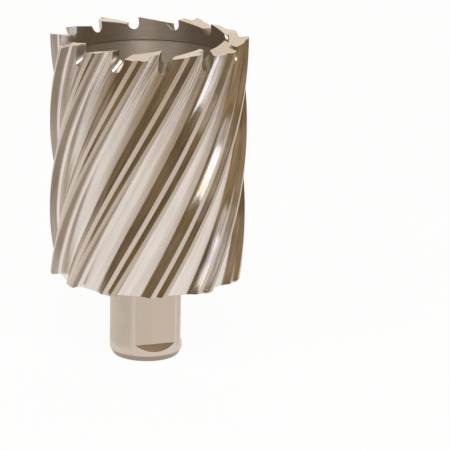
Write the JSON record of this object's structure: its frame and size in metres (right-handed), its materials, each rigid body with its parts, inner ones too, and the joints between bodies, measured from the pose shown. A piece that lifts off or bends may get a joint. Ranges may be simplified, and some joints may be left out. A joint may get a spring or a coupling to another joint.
{
  "type": "annular cutter",
  "caption": "Hollow cylindrical drilling cutter with helical flutes, a ring of ground teeth round an open cup, and a side-lock shank bored for a pilot pin.",
  "frame": {"origin": "centre of the shank's end face", "axes": "+Z along the cutter's axis from the shank to the teeth; -Y and +X are the normals of the two clamping flats"},
  "size_m": [0.0508, 0.0508, 0.0856],
  "materials": {
    "ground_steel": "ground tool steel, brighter in the flutes and on the tooth tops, satin on the shank"
  },
  "bodies": {
    "root": {"annular_cutter": "ground_steel"}
  },
  "joints": []
}
